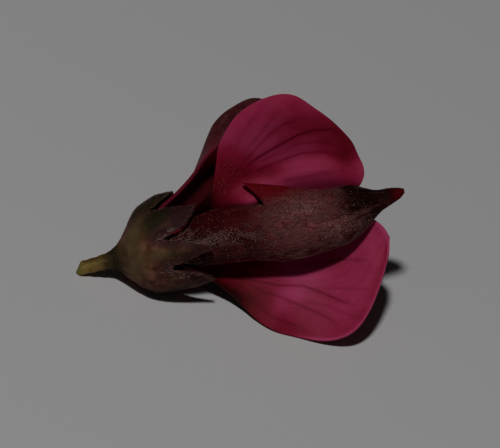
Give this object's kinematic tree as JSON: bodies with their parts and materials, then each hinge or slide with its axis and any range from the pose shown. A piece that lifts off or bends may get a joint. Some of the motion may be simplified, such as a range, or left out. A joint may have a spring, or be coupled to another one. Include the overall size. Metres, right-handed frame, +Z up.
{
  "type": "indigofera flower",
  "caption": "Pea-type blossom lying on its side: cut stalk, toothed calyx cup, folded banner, two spread wing petals and a pouched keel that ends in a beak.",
  "frame": {"origin": "centre of the flower's bounding box, at the surface it lies on", "axes": "+X points from the cut stalk to the tip of the keel, seen from above; +Z is up, off the surface; +Y completes a right-handed set and points to the banner's side"},
  "size_m": [0.011, 0.0066, 0.0077],
  "materials": {
    "pedicel": "olive green, minutely hairy stalk",
    "calyx": "green and reddish brown, softly hairy",
    "banner": "maroon, velvety on the outer face",
    "wing": "rose pink petal with darker veins, finely beaded satin",
    "keel": "dark maroon under silvery hairs",
    "stamens": "pale pink, smooth",
    "pistil": "green, smooth"
  },
  "bodies": {
    "root": {"pedicel": "pedicel", "calyx": "calyx", "banner": "banner", "wing_upper": "wing", "wing_lower": "wing", "keel": "keel", "staminal_sheath": "stamens", "free_stamen": "stamens", "pistil": "pistil"}
  },
  "joints": []
}
